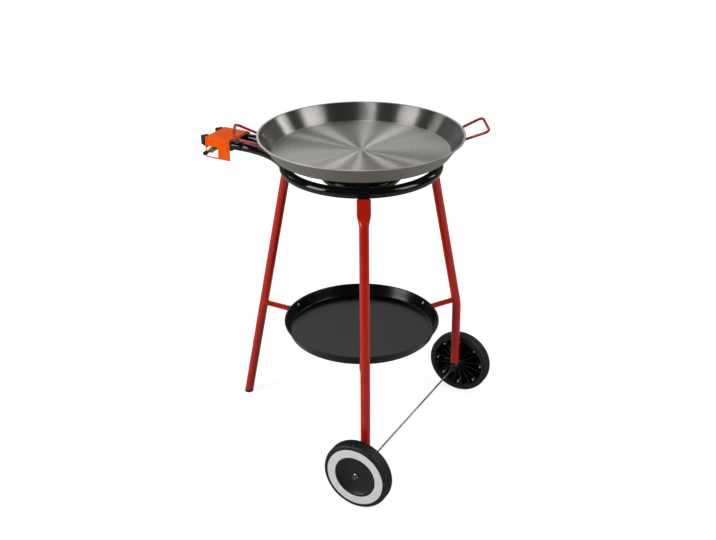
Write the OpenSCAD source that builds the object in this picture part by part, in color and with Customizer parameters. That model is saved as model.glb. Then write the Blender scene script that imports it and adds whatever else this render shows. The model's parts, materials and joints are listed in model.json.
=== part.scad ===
// Two-ring gas paella burner: a steel pan on a three-legged stand with a tray and two wheels.
// Millimetres, +Z up, the floor at z = 0.

/* [Pan] */
// Diameter over the turned lip of the pan
pan_d = 600; // [560:1:640]
// Diameter of the flat pan bottom
pan_bottom_d = 516; // [490:1:540]
// Depth of the pan, outside
pan_h = 52; // [40:1:70]
// Thickness of the pan sheet
pan_sheet = 1.8; // [1.2:0.1:3]
// Width of the turned lip
pan_lip = 6; // [3:0.5:7]
// Bend radius between the pan bottom and its wall
pan_bend = 9; // [5:0.5:14]

/* [Pan handles] */
// Diameter of the handle wire
handle_wire = 8; // [6:0.5:10]
// Width of a handle at its end bar, between the middles of its arms
handle_w = 124; // [110:1:140]
// Distance between the feet of a handle on the pan wall
handle_foot_w = 92; // [80:1:100]
// How far the end bar stands out from the lip
handle_reach = 61; // [50:1:80]
// Height of the end bar above the lip
handle_rise = 17; // [6:1:20]
// Bend radius of the handle corners
handle_bend = 14; // [10:1:24]
// Turn of the handle line away from the stand's right-hand side
handle_az = 2.5; // [-8:0.5:8]
// Diameter of the handle rivets
rivet_d = 6; // [4:0.5:7]

/* [Burner] */
// Diameter of the outer ring, at the middle of its tube
outer_ring_d = 447; // [430:1:460]
// Tube diameter of the outer ring
outer_tube = 30.5; // [27:0.5:34]
// Diameter of the inner ring, at the middle of its tube
inner_ring_d = 212; // [190:1:240]
// Tube diameter of the inner ring and of both feed tubes
feed_tube = 27; // [22:0.5:28]
// Wall of the burner tubes
burner_wall = 1.5; // [1:0.1:2.5]
// Height of the outer ring's middle above the floor
ring_z = 901; // [860:1:940]
// Diameter of a flame port
port_d = 3; // [2:0.5:4]
// Flame ports in the outer ring
outer_ports = 48; // [24:6:60]
// Flame ports in the inner ring
inner_ports = 24; // [12:3:30]
// Distance between the two feed tubes
feed_pitch = 76; // [72:1:80]
// Bend radius of the outer feed tube where it swings on to the ring
outer_feed_bend = 270; // [240:5:300]
// Bend radius of the inner feed tube where it drops below the outer ring
inner_feed_bend = 90; // [80:1:110]

/* [Supports] */
// Width of the flat bar
bar_w = 32; // [28:1:34]
// Thickness of the flat bar
bar_t = 4.5; // [3:0.25:5]
// Height of the pan rest above the middle of the outer ring
rest_rise = 42.5; // [34:0.5:60]
// Length of the tab inside a leg
tab_in = 50; // [30:1:54]

/* [Control box] */
// Distance from the stand's axis to the outside of the front plate
box_front = 515; // [512:1:525]
// Depth of the box from front to back
box_depth = 89; // [86:1:96]
// Width of the box
box_w = 106; // [104:1:116]
// Height of the side cheeks
cheek_h = 66; // [62:1:75]
// Height of the front plate
front_h = 37; // [34:1:40]
// Height of the box top above the feed tubes
box_top = 17; // [16.5:0.5:20]
// Thickness of the folded sheet
box_sheet = 1.5; // [1:0.1:2]
// Width of the window in the near cheek
window_w = 42; // [36:1:46]
// Height of the window in the near cheek
window_h = 33; // [28:1:35]
// Diameter of the knobs
knob_d = 37; // [32:1:40]
// Length of the knobs
knob_l = 20; // [18:1:28]
// Diameter of the valve stems
stem_d = 8; // [6:0.5:9]
// Diameter of the gas rail
rail_d = 16; // [14:0.5:18]
// Depth of the gas rail below the valves
rail_drop = 23; // [22:1:27]
// Diameter of the plain end of the hose nipple
nipple_d = 10; // [8:0.5:12]
// Length of the plain end of the hose nipple
nipple_l = 32; // [24:1:40]

/* [Legs] */
// Diameter of the leg tube
leg_d = 28; // [25:0.5:30]
// Wall of the leg tube
leg_wall = 1.5; // [1.2:0.1:2]
// Lean of the legs away from upright
leg_lean = 12.25; // [11:0.25:13.5]
// Height of the leg tops above the middle of the outer ring
leg_top_rise = 7; // [2:1:12]
// Length of the flattened leg top
flat_l = 58; // [56:1:70]
// Length of the taper from the flat to the round tube
taper_l = 36; // [24:1:50]
// Height of the knee in the two wheeled legs
knee_z = 345; // [335:1:348]
// Bend radius of the knee
knee_bend = 150; // [100:5:160]
// Lean of the wheeled legs below the knee
low_lean = 0.5; // [0:0.25:2]
// Height of the lower end of the wheeled legs above the axle
leg_end_rise = 20; // [18:1:30]
// Thickness of the foot cap below the leg end
foot_t = 7; // [5:0.5:12]

/* [Tray] */
// Diameter over the lip of the tray
tray_d = 478; // [460:1:490]
// Diameter of the tray bottom
tray_bottom_d = 444; // [430:1:452]
// Depth of the tray, outside
tray_h = 35; // [32:1:45]
// Height of the tray's underside above the floor
tray_z = 358; // [357:1:362]
// Thickness of the tray sheet
tray_sheet = 1.2; // [0.8:0.1:2]
// Width of the tray's turned lip
tray_lip = 4; // [3:0.5:6]
// Diameter of the arm tubes
arm_d = 17; // [15:0.5:18]
// Wall of the arm tubes
arm_wall = 1.5; // [1:0.1:2]
// Width of the flattened arm ends
arm_flat_w = 27; // [22:0.5:30]
// Thickness of the flattened arm ends
arm_flat_t = 4; // [3:0.25:5]
// Diameter of the tray bolts
tray_bolt_d = 6; // [5:0.5:8]

/* [Wheels] */
// Diameter of the wheels
wheel_d = 206; // [196:1:214]
// Width of the tyres
tyre_w = 42; // [38:1:44]
// Thickness of the tyre rubber
tyre_t = 13; // [10:1:16]
// Rounding of the tyre shoulders
shoulder = 8; // [5:0.5:9]
// Distance from a leg's middle to the wheel's middle
wheel_out = 45; // [44:1:52]
// Diameter of the axle rod
axle_d = 6; // [5:0.5:8]
// Inside diameter of the white trim ring
trim_in_d = 130; // [114:1:138]
// Pins that hold a trim ring
trim_pins = 8; // [6:1:10]
// Ribs on the inner side of a wheel hub
hub_ribs = 16; // [8:4:20]

/* [Fits] */
// Radial clearance of turning shafts
run_gap = 0.05; // [0.02:0.01:0.1]
// Gap between pieces that rest on or lie along each other
seat_gap = 0.3; // [0.1:0.05:0.5]
// Radial clearance of fixed pins and bolts
pin_gap = 0.05; // [0.02:0.01:0.1]

/* [Hidden] */
$fn = 96;
hull_fn = 32;
pin_fn = 32;
swing_fn = 180;
eps = 0.01;
far = 200;

// Overlap of stretches that are one piece, and the hair line between their ends
lap = 0.2;
slit = 0.004;
// The facets of a taper stay this far outside the round surfaces that they join
blend = 0.2;

// The stand's axis, placed so that the whole object is centred over the origin
stand_at = [26, 80, 0];

// Azimuths of the three legs; the control box sits over the one without a wheel
front_az = -90;
right_az = 30;
left_az = 150;
LEG_AZ = [front_az, right_az, left_az];
axle_az = 60;

// Burner: the inner ring hangs low enough for its feed tube to pass under the outer ring
outer_r = outer_ring_d / 2;
inner_r = inner_ring_d / 2;
feed_clear = 1;
feed_drop = (outer_tube + feed_tube) / 2 + feed_clear;
inner_z = ring_z - feed_drop;
feed_y = feed_pitch / 2;

// The feed tubes end in the bracket behind the control box
box_back = box_front - box_depth;
bracket_t = 3;
bracket_x = box_back - 7;
feed_end = bracket_x + bracket_t + 2;

// The outer feed tube swings round until its middle meets that of the ring at this angle, or at a wider
// one where the ring comes close to the bracket, out of which the tube runs straight
swing_meet = 8;
feed_straight = 30;
meet_d = sqrt(pow(outer_feed_bend, 2) + pow(outer_r, 2) + 2 * outer_feed_bend * outer_r * cos(swing_meet));
swing_y = feed_y + outer_feed_bend;
swing_x = min(sqrt(pow(meet_d, 2) - pow(swing_y, 2)), feed_end - feed_straight);
swing_d = norm([swing_x, swing_y]);
swing_cos = (pow(swing_d, 2) + pow(outer_feed_bend, 2) - pow(outer_r, 2)) / (2 * outer_feed_bend * swing_d);
feed_swing = atan2(swing_x, swing_y) - acos(swing_cos);

// Supports: the tab runs down outside the outer ring, in line with its leg, whose wall lies between them
flat_gap = bar_t + 2 * seat_gap;
flat_face = flat_gap / 2 + leg_wall;
tab_r = outer_r + (outer_tube / 2 + seat_gap + flat_face) / cos(leg_lean);
function leg_r(z) = tab_r - tan(leg_lean) * (z - ring_z);
rest_z = ring_z + rest_rise;
bar_past_ring = 6;

// Pan and handles
pan_z = rest_z + seat_gap;
pan_top = pan_z + pan_h;
wall_top_r = pan_d / 2 - pan_lip;
wall_run = wall_top_r - pan_bottom_d / 2;
wall_lean = atan(wall_run / (pan_h - pan_sheet));
pad_w = 17;
pad_l = 26;
pad_t = 3;
pad_below_lip = 3;
rivet_up = (pan_h - pan_sheet) / cos(wall_lean) - pad_l / 2 - pad_below_lip;
rivet_r = pan_bottom_d / 2 + rivet_up * sin(wall_lean);
pad_az = asin(handle_foot_w / 2 / rivet_r);
HANDLE_PADS = [for (side = [0, 180], s = [-1, 1]) handle_az + side + s * pad_az];

// Legs: a flattened tube keeps the length of its wall
leg_top_z = ring_z + leg_top_rise;
flat_straight = (PI * (leg_d - leg_wall) - PI * (flat_gap + leg_wall)) / 2;
dimple_d = 7;
dimple_deep = 0.8;
dimple_down = 43;
foot_l = (leg_top_z - foot_t) / cos(leg_lean) - leg_d / 2 * tan(leg_lean);

// Knee and axle
axle_z = wheel_d / 2;
knee_drop = knee_bend * (sin(leg_lean) - sin(low_lean));
knee_shift = knee_bend * (cos(low_lean) - cos(leg_lean));
bend_z = knee_z + knee_drop / 2;
bend_end_z = bend_z - knee_drop;
bend_end_r = leg_r(bend_z) + knee_shift;
upper_l = (leg_top_z - bend_z) / cos(leg_lean);
leg_end_z = axle_z + leg_end_rise;
lower_l = (bend_end_z - leg_end_z) / cos(low_lean);
leg_end_r = bend_end_r + tan(low_lean) * (bend_end_z - leg_end_z);
axle_r = bend_end_r + tan(low_lean) * (bend_end_z - axle_z);
axle_half = axle_r * sin((right_az - front_az) / 2);
axle_off = axle_r * cos((right_az - front_az) / 2);

// Wheels, measured from the middle of the leg
block_half = 15;
washer_t = 1.5;
side_play = 0.6;
cap_r = 8;
cap_flange = 1.2;
cap_l = 9;
hub_in = block_half + washer_t + side_play;
hub_boss_r = 15;
hub_dish = 6;
wheel_face = wheel_out + tyre_w / 2;
wheel_back = wheel_out - tyre_w / 2;
tyre_r = axle_z - tyre_t;
axle_end = axle_half + wheel_face + side_play;
trim_t = 2.5;
trim_in_r = trim_in_d / 2;
trim_r = tyre_r - 0.4;
trim_pin_d = 6;
trim_pin_r = (trim_in_r + trim_r) / 2;
web_t = 5;

// Tray
tray_wall_run = tray_d / 2 - tray_lip - tray_bottom_d / 2;
tray_lean = atan(tray_wall_run / (tray_h - tray_sheet));
tray_wall_l = (tray_h - tray_sheet) / cos(tray_lean);
tray_bolt_down = 11.2;
tray_bolt_up = tray_wall_l - tray_bolt_down;
tray_nut_t = 5;
arm_z = tray_z + arm_flat_t / 2 + 1;

// Control box, in its own frame
box_floor = box_top - cheek_h;
valve_l = 34;
valve_d = 22;
valve_front = box_front - box_sheet;
stem_in = valve_l * 0.6;
stem_out = 14;
stem_flat = stem_d * 0.3;
neck_d = 10;
jet_d = 9;
jet_seat = valve_l * 0.25;
rail_x = box_front - 22;
rail_past = 9;
rail_tip = feed_y + rail_past;
inlet_hex = 9;
bracket_h = 2 * (box_top - box_sheet - seat_gap);
flange_l = 24;
screw_x = bracket_x + 18;
screw_z = 9;
screw_d = 4;

// Colours of the finishes
polished = "#c9c8c2";
black_enamel = "#1d1d1e";
red_paint = "#b0190e";
orange_paint = "#ee5a16";
zinc = "#a8abad";
brass = "#c9a648";
black_plastic = "#222223";
rubber = "#2a2a2a";
white_plastic = "#dcdcd8";

// Sheet and bar sections

bend_steps = 8;
function unit(v) = v / norm(v);
function left_of(v) = [-unit(v)[1], unit(v)[0]];
function turn_of(a, b) = atan2(a[0] * b[1] - a[1] * b[0], a * b);

// Points of a line that runs off to the left of corner b, where the section bends to the radius
function bend_line(a, b, c, radius, off) =
    let (turn = turn_of(b - a, c - b),
        side = sign(turn),
        start = b - unit(b - a) * radius * tan(abs(turn) / 2),
        middle = start + left_of(b - a) * side * radius,
        heading = atan2(start[1] - middle[1], start[0] - middle[0]))
    [for (k = [0 : bend_steps]) middle + (radius - side * off)
        * [cos(heading + turn * k / bend_steps), sin(heading + turn * k / bend_steps)]];

// One edge line of a section along the corners p, with a bend radius for each inner corner
function edge_line(p, radii, off) =
    let (last = len(p) - 1)
    [p[0] + left_of(p[1] - p[0]) * off,
        for (i = [1 : last - 1]) each bend_line(p[i - 1], p[i], p[i + 1], radii[i - 1], off),
        p[last] + left_of(p[last] - p[last - 1]) * off];

function reversed(list) = [for (i = [len(list) - 1 : -1 : 0]) list[i]];

// Section of thickness t along the corners p
module section(p, t, radii) {
    polygon(concat(edge_line(p, radii, t / 2), reversed(edge_line(p, radii, -t / 2))));
}

// A section in the radial plane, made into a bar of width w
module radial_bar(w) {
    translate([0, w / 2, 0]) rotate([90, 0, 0]) linear_extrude(w) children();
}

// Tubes

module tube_wall(d, wall) {
    difference() {
        circle(d = d);
        circle(d = d - 2 * wall);
    }
}

// Straight tube from the origin, heading down
module tube_down(l, d, wall) {
    translate([0, 0, -l]) linear_extrude(l - slit) tube_wall(d, wall);
    tube_tie(d, wall);
}

// Bend from the origin, heading down and turning to -X
module tube_bend(radius, angle, d, wall) {
    translate([-radius, 0, 0]) rotate([90, 0, 0]) rotate([0, 0, -angle])
        rotate_extrude(angle = angle) translate([radius, 0]) tube_wall(d, wall);
    tube_tie(d, wall);
}

// Short sleeve in the middle of the wall, which ties a stretch of tube to the one before it
module tube_tie(d, wall) {
    translate([0, 0, -lap]) linear_extrude(2 * lap) tube_wall(d - wall / 2, wall / 2);
}

// What follows such a bend
module past_bend(radius, angle) {
    translate([-radius, 0, 0]) rotate([0, angle, 0]) translate([radius, 0, 0]) children();
}

module slot_shape(straight, t) {
    square([t, straight], center = true);
    for (s = [-1, 1]) translate([0, s * straight / 2]) circle(d = t);
}

// Places in the stand

module at_stand() {
    translate(stand_at) children();
}

module at_az(az) {
    at_stand() rotate([0, 0, az]) children();
}

// Frame at the top of a leg, with the leg running down its -Z
module at_leg_top(az) {
    at_az(az) translate([leg_r(leg_top_z), 0, leg_top_z]) rotate([0, -leg_lean, 0]) children();
}

// Frame of the control box: +X out of the front plate, at the height of the feed tubes
module at_box() {
    at_az(left_az) translate([0, 0, ring_z]) children();
}

// Frame of the axle: +Z along it towards the right-hand wheel, from the middle between the legs
module at_axle() {
    at_az(axle_az - 90) translate([axle_off, 0, axle_z]) rotate([-90, 0, 0]) children();
}

// Frame of a wheel: +Z outwards, from the middle of the leg
module at_wheel(side) {
    at_axle() rotate([side > 0 ? 0 : 180, 0, 0]) translate([0, 0, axle_half]) children();
}

// Frame on the outside of the pan wall: +X out of the wall, +Z up the wall
module at_pan_wall(az) {
    at_az(az) translate([pan_bottom_d / 2, 0, pan_z + pan_sheet / 2]) rotate([0, wall_lean, 0])
        translate([pan_sheet / 2, 0, 0]) children();
}

// Frame on the outside of the tray wall: +X out of the wall, +Z up the wall
module at_tray_wall(az) {
    at_az(az) translate([tray_bottom_d / 2, 0, tray_z + tray_sheet / 2]) rotate([0, tray_lean, 0])
        translate([tray_sheet / 2, 0, 0]) children();
}

// Pan

module pan() {
    corners = [[0, pan_z + pan_sheet / 2], [pan_bottom_d / 2, pan_z + pan_sheet / 2],
        [wall_top_r, pan_top - pan_sheet / 2], [pan_d / 2, pan_top - pan_sheet / 2]];
    color(polished)
        difference() {
            at_stand() rotate_extrude() section(corners, pan_sheet, [pan_bend, pan_sheet]);
            for (az = HANDLE_PADS) at_pan_wall(az) translate([0, 0, rivet_up]) rivet_hole();
        }
}

module rivet_hole() {
    rotate([0, 90, 0]) cylinder(d = rivet_d + 2 * pin_gap, h = 4 * pad_t, center = true);
}

// Bent-wire handle: two arms that splay out to an end bar, in one tilted plane, on pads on the pan wall
module handle(az) {
    pad_x = (rivet_r + (pan_sheet + pad_t) / 2 * cos(wall_lean)) * cos(pad_az);
    pad_z = pan_z + rivet_up * cos(wall_lean);
    rise = pan_top + handle_rise - pad_z;
    reach = pan_d / 2 + handle_reach - pad_x;
    plane_l = norm([reach, rise]);
    flare = (handle_w - handle_foot_w) / 2;
    splay = atan2(flare, plane_l);
    corner = handle_bend * tan((90 + splay) / 2);
    arm_l = norm([plane_l, flare]) - corner;
    bar_l = handle_w - 2 * corner;
    color(red_paint) {
        difference() {
            at_az(az) translate([pad_x, 0, pad_z]) rotate([0, -atan2(rise, reach), 0]) {
                for (s = [-1, 1]) {
                    translate([0, s * handle_foot_w / 2, 0]) rotate([0, 90, s * splay]) {
                        cylinder(d = handle_wire, h = arm_l - slit);
                        translate([0, 0, arm_l]) wire_tie();
                    }
                    translate([plane_l - handle_bend, s * bar_l / 2, 0])
                        rotate([0, 0, s > 0 ? 0 : -90 - splay]) rotate_extrude(angle = 90 + splay)
                            translate([handle_bend, 0]) circle(d = handle_wire);
                    translate([plane_l, s * bar_l / 2, 0]) rotate([90, 0, 0]) wire_tie();
                }
                translate([plane_l, 0, 0]) rotate([90, 0, 0])
                    cylinder(d = handle_wire, h = bar_l - 2 * slit, center = true);
            }
            for (s = [-1, 1]) at_pan_wall(az + s * pad_az)
                translate([pin_gap + pad_t - lap - far, -pad_w / 2, -far / 2]) cube([far, pad_w, far]);
        }
        for (s = [-1, 1]) at_pan_wall(az + s * pad_az) translate([pin_gap, 0, rivet_up])
            difference() {
                rotate([0, 90, 0]) linear_extrude(pad_t) square([pad_l, pad_w], center = true);
                rivet_hole();
            }
    }
}

// Short core that ties two stretches of wire together
module wire_tie() {
    cylinder(d = handle_wire * 0.8, h = 4 * lap, center = true);
}

module left_handle() {
    handle(handle_az + 180);
}

module right_handle() {
    handle(handle_az);
}

// Rivets with a low cone head inside the pan
module handle_rivets() {
    head_t = 1.6;
    shank = pan_sheet + pad_t + 3 * pin_gap - lap - seat_gap;
    color(zinc)
        for (az = HANDLE_PADS) at_pan_wall(az) translate([-pan_sheet - pin_gap, 0, rivet_up])
            rotate([0, 90, 0]) {
                translate([0, 0, -head_t]) cylinder(d1 = rivet_d * 1.2, d2 = rivet_d * 2, h = head_t);
                translate([0, 0, -pin_gap]) cylinder(d = rivet_d, h = shank);
            }
}

// Burner

// Closed ring of tube with a row of flame ports on its upper inner side
module burner_ring(radius, z, d, ports) {
    port_tilt = 35;
    color(black_enamel)
        at_stand() translate([0, 0, z])
            difference() {
                rotate_extrude() translate([radius, 0]) tube_wall(d, burner_wall);
                for (i = [0 : ports - 1]) rotate([0, 0, (i + 0.5) * 360 / ports]) translate([radius, 0, 0])
                    rotate([0, -port_tilt, 0]) cylinder(d = port_d, h = d, $fn = 24);
            }
}

module outer_ring() {
    burner_ring(outer_r, ring_z, outer_tube, outer_ports);
}

module inner_ring() {
    burner_ring(inner_r, inner_z, feed_tube, inner_ports);
}

// Space that a ring of tube takes up, with its seam away from the feed tubes
module ring_space(radius, z, d) {
    at_az(left_az - 90) translate([0, 0, z]) rotate_extrude() translate([radius, 0]) circle(d = d);
}

// The outer feed tube runs in straight and swings round on to the ring
module outer_feed_tube() {
    $fn = swing_fn;
    run = feed_end - swing_x;
    color(black_enamel)
        difference() {
            at_box() translate([feed_end, feed_y, 0]) rotate([0, 90, 0]) {
                translate([0, 0, -run]) linear_extrude(run) tube_wall(feed_tube, burner_wall);
                translate([0, 0, -run - slit]) rotate([0, 0, -90])
                    tube_bend(outer_feed_bend, feed_swing, feed_tube, burner_wall);
            }
            ring_space(outer_r, ring_z, outer_tube + 2 * pin_gap);
        }
}

// The inner feed tube drops in an S, passes under the outer ring and runs straight into the inner one
module inner_feed_tube() {
    s_turn = acos(1 - feed_drop / (2 * inner_feed_bend));
    s_run = 2 * inner_feed_bend * sin(s_turn);
    s_end = outer_r + 1.7 * outer_tube;
    run = feed_end - s_end - s_run;
    meet_x = sqrt(pow(inner_r, 2) - pow(feed_y, 2));
    color(black_enamel)
        difference() {
            at_box() translate([feed_end, -feed_y, 0]) rotate([0, 90, 0]) {
                translate([0, 0, -run]) linear_extrude(run) tube_wall(feed_tube, burner_wall);
                translate([0, 0, -run - slit]) rotate([0, 0, 180]) {
                    tube_bend(inner_feed_bend, s_turn, feed_tube, burner_wall);
                    past_bend(inner_feed_bend, s_turn) translate([0, 0, -slit]) rotate([0, 0, 180]) {
                        tube_bend(inner_feed_bend, s_turn, feed_tube, burner_wall);
                        past_bend(inner_feed_bend, s_turn) translate([0, 0, -slit])
                            tube_down(s_end - meet_x, feed_tube, burner_wall);
                    }
                }
            }
            ring_space(inner_r, inner_z, feed_tube + 2 * pin_gap);
        }
}

// One bent flat bar: over the inner ring, up to the pan rest, over the outer ring and down into the leg
module support(az) {
    bar_bend = bar_t;
    low_z = inner_z + feed_tube / 2 + bar_t / 2 + pin_gap;
    up_r = outer_r - outer_tube / 2 - seat_gap - bar_t / 2;
    top_z = rest_z - bar_t / 2;
    end_z = leg_top_z - tab_in * cos(leg_lean);
    color(black_enamel)
        at_az(az) radial_bar(bar_w)
            section([[inner_r - feed_tube / 2 - bar_past_ring, low_z], [up_r, low_z], [up_r, top_z],
                [leg_r(top_z), top_z], [leg_r(end_z), end_z]], bar_t, [bar_bend, bar_bend, bar_bend]);
}

module front_support() {
    support(front_az);
}

module right_support() {
    support(right_az);
}

module left_support() {
    support(left_az);
}

// Control box

// Plate with two holes for the feed tubes and two flanges for the control box
module burner_bracket() {
    w = box_w - 2 * box_sheet - 2 * pin_gap;
    color(black_enamel)
        at_box() difference() {
            union() {
                translate([bracket_x, -w / 2, -bracket_h / 2]) cube([bracket_t, w, bracket_h]);
                for (s = [-1, 1]) translate([bracket_x + flange_l / 2, s * (w - bracket_t) / 2, 0])
                    cube([flange_l, bracket_t, bracket_h], center = true);
            }
            for (s = [-1, 1]) translate([bracket_x - eps, s * feed_y, 0]) rotate([0, 90, 0])
                cylinder(d = feed_tube + 2 * pin_gap, h = far);
            panel_screw_holes();
        }
}

module panel_screw_holes() {
    for (z = [-screw_z, screw_z]) translate([screw_x, 0, z]) rotate([90, 0, 0])
        cylinder(d = screw_d + 2 * pin_gap, h = box_w + far, center = true, $fn = pin_fn);
}

// Block with its upper front edge and both upper side edges rounded, from x0 to x1
module box_block(x0, x1, w, z0, z1, radius) {
    intersection() {
        translate([0, w, 0]) rotate([90, 0, 0]) linear_extrude(2 * w) {
            translate([x0, z0]) square([x1 - x0 - radius, z1 - z0]);
            translate([x0, z0]) square([x1 - x0, z1 - z0 - radius]);
            translate([x1 - radius, z1 - radius]) circle(radius);
        }
        translate([x0, 0, 0]) rotate([90, 0, 90]) linear_extrude(x1 - x0) {
            translate([-w / 2, z0]) square([w, z1 - z0 - radius]);
            translate([-w / 2 + radius, z0]) square([w - 2 * radius, z1 - z0]);
            for (s = [-1, 1]) translate([s * (w / 2 - radius), z1 - radius]) circle(radius);
        }
    }
}

// Folded sheet: roof, short front plate and two deep cheeks, open at the back and below
module control_panel() {
    fold = 3;
    window_edge = 4;
    stem_hole = stem_d + 6;
    color(orange_paint)
        at_box() difference() {
            box_block(box_back, box_front, box_w, box_floor, box_top, fold);
            box_block(box_back - far, box_front - box_sheet, box_w - 2 * box_sheet, box_floor - far,
                box_top - box_sheet, fold - box_sheet);
            translate([box_front - 2 * fold, -box_w / 2 + box_sheet, box_floor - eps])
                cube([4 * fold, box_w - 2 * box_sheet, cheek_h - front_h]);
            translate([box_front - window_edge - window_w, box_w / 2 - 3 * box_sheet,
                box_floor + window_edge]) cube([window_w, 6 * box_sheet, window_h]);
            for (s = [-1, 1]) translate([box_front - 2 * box_sheet, s * feed_y, 0]) rotate([0, 90, 0])
                cylinder(d = stem_hole, h = 4 * box_sheet);
            panel_screw_holes();
        }
}

module panel_screws() {
    head_d = 8;
    head_t = 2.6;
    shank = box_sheet + bracket_t + 2;
    color(zinc)
        at_box() for (s = [-1, 1], z = [-screw_z, screw_z]) translate([screw_x, s * box_w / 2, z])
            rotate([-90 * s, 0, 0]) {
                translate([0, 0, pin_gap]) cylinder(d1 = head_d, d2 = head_d * 0.7, h = head_t, $fn = pin_fn);
                translate([0, 0, -shank]) cylinder(d = screw_d, h = shank + 2 * pin_gap, $fn = pin_fn);
            }
}

// Gas manifold: a tube across the box, closed at its far end
module gas_rail() {
    bore = 9;
    bore_past = 4;
    color(zinc)
        at_box() translate([rail_x, 0, -rail_drop]) difference() {
            rotate([90, 0, 0]) cylinder(d = rail_d, h = 2 * rail_tip, center = true);
            translate([0, -feed_y - bore_past, 0]) rotate([-90, 0, 0]) cylinder(d = bore, h = far);
            for (s = [-1, 1]) translate([0, s * feed_y, 0]) cylinder(d = neck_d + 2 * pin_gap, h = far);
        }
}

// Brass inlet: hexagon against the rail and a plain end for the hose
module hose_nipple() {
    color(brass)
        at_box() translate([rail_x, rail_tip + pin_gap, -rail_drop]) rotate([-90, 0, 0]) difference() {
            union() {
                cylinder(d = rail_d + 2, h = inlet_hex, $fn = 6);
                cylinder(d = nipple_d, h = inlet_hex + nipple_l);
            }
            translate([0, 0, -eps]) cylinder(d = nipple_d * 0.55, h = far);
        }
}

// Thin black cap over the tip of the inlet
module nipple_cap() {
    sleeve = 9;
    cap_t = 1.2;
    tip = rail_tip + inlet_hex + nipple_l + 2 * pin_gap;
    color(black_plastic)
        at_box() translate([rail_x, tip, -rail_drop]) rotate([-90, 0, 0]) difference() {
            translate([0, 0, -sleeve]) cylinder(d = nipple_d + 2 * cap_t, h = sleeve + cap_t);
            translate([0, 0, -sleeve - eps]) cylinder(d = nipple_d + 2 * pin_gap, h = sleeve + eps);
        }
}

// Gas tap: body behind the front plate, neck into the rail and a bore for its stem
module valve(s) {
    neck_foot = rail_d / 4;
    back = valve_front - valve_l - pin_gap;
    color(brass)
        at_box() translate([0, s * feed_y, 0]) difference() {
            union() {
                translate([back, 0, 0]) rotate([0, 90, 0]) cylinder(d = valve_d, h = valve_l);
                translate([rail_x, 0, neck_foot - rail_drop]) cylinder(d = neck_d, h = rail_drop - neck_foot);
            }
            translate([valve_front - stem_in, 0, 0]) rotate([0, 90, 0])
                cylinder(d = stem_d + 2 * run_gap, h = far);
            translate([back - eps, 0, 0]) rotate([0, 90, 0])
                cylinder(d = jet_d + 2 * pin_gap, h = jet_seat + eps);
        }
}

module outer_valve() {
    valve(1);
}

module inner_valve() {
    valve(-1);
}

// Brass jet that points into the open end of a feed tube
module injector(s) {
    body = 30;
    tip = 12;
    hex_t = 5;
    orifice = 2;
    color(brass)
        at_box() translate([valve_front - valve_l + jet_seat - pin_gap, s * feed_y, 0]) rotate([0, -90, 0])
            difference() {
                union() {
                    translate([0, 0, pin_gap]) cylinder(d = jet_d, h = body);
                    translate([0, 0, jet_seat + pin_gap]) cylinder(d = jet_d * 1.5, h = hex_t, $fn = 6);
                    translate([0, 0, body]) cylinder(d1 = jet_d, d2 = jet_d * 0.5, h = tip);
                }
                cylinder(d = orifice, h = far);
            }
}

module outer_injector() {
    injector(1);
}

module inner_injector() {
    injector(-1);
}

// Turning stem of a tap, with a flat for the knob
module valve_stem(s) {
    flat_from = stem_in + box_sheet + 4;
    color(zinc)
        at_box() translate([valve_front - stem_in + run_gap, s * feed_y, 0]) difference() {
            rotate([0, 90, 0]) cylinder(d = stem_d, h = stem_in + box_sheet + stem_out);
            translate([flat_from, -stem_d, stem_flat]) cube([far, 2 * stem_d, stem_d]);
        }
}

module outer_valve_stem() {
    valve_stem(1);
}

module inner_valve_stem() {
    valve_stem(-1);
}

// Round knob with a raised grip across it
module knob(s) {
    skirt = knob_l * 0.36;
    chamfer = 2.5;
    grip_w = 11;
    clear = 2;
    color(black_plastic)
        at_box() translate([box_front + clear, s * feed_y, 0]) rotate([0, 90, 0]) difference() {
            union() {
                cylinder(d = knob_d, h = skirt);
                translate([0, 0, skirt]) cylinder(d1 = knob_d, d2 = knob_d - 2 * chamfer, h = chamfer);
                intersection() {
                    cylinder(d1 = knob_d - chamfer, d2 = knob_d - 3 * chamfer, h = knob_l);
                    translate([-knob_d, -grip_w / 2, 0]) cube([2 * knob_d, grip_w, knob_l]);
                }
            }
            difference() {
                translate([0, 0, -eps]) cylinder(d = stem_d + 2 * pin_gap, h = stem_out - clear + seat_gap);
                translate([-stem_flat - pin_gap - far, -far / 2, clear]) cube(far);
            }
        }
}

module outer_knob() {
    knob(1);
}

module inner_knob() {
    knob(-1);
}

// Legs

// Flattened top of a leg, open so that the tab of a support drops in, and its taper to the round tube
module leg_head() {
    difference() {
        translate([0, 0, -flat_l - lap]) linear_extrude(flat_l + lap) difference() {
            slot_shape(flat_straight, 2 * flat_face);
            slot_shape(flat_straight, flat_gap);
        }
        translate([flat_face - dimple_deep, 0, -dimple_down]) rotate([0, 90, 0])
            cylinder(d1 = dimple_d * 0.4, d2 = dimple_d, h = 2 * dimple_deep, $fn = pin_fn);
    }
    translate([0, 0, -flat_l - taper_l]) difference() {
        taper(leg_d + blend, 2 * flat_face + blend, 0);
        taper(leg_d - 2 * leg_wall - blend, flat_gap - blend, eps);
    }
}

module taper(d, t, past) {
    hull() {
        translate([0, 0, -past]) linear_extrude(lap) rotate(180 / hull_fn) circle(d = d, $fn = hull_fn);
        translate([0, 0, taper_l - lap + past]) linear_extrude(lap)
            slot_shape(flat_straight, t, $fn = hull_fn);
    }
}

// Round tube of a leg from its taper down to the length l
module leg_tube(l) {
    top = flat_l + taper_l - lap;
    translate([0, 0, -l]) linear_extrude(l - top) tube_wall(leg_d, leg_wall);
}

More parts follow.
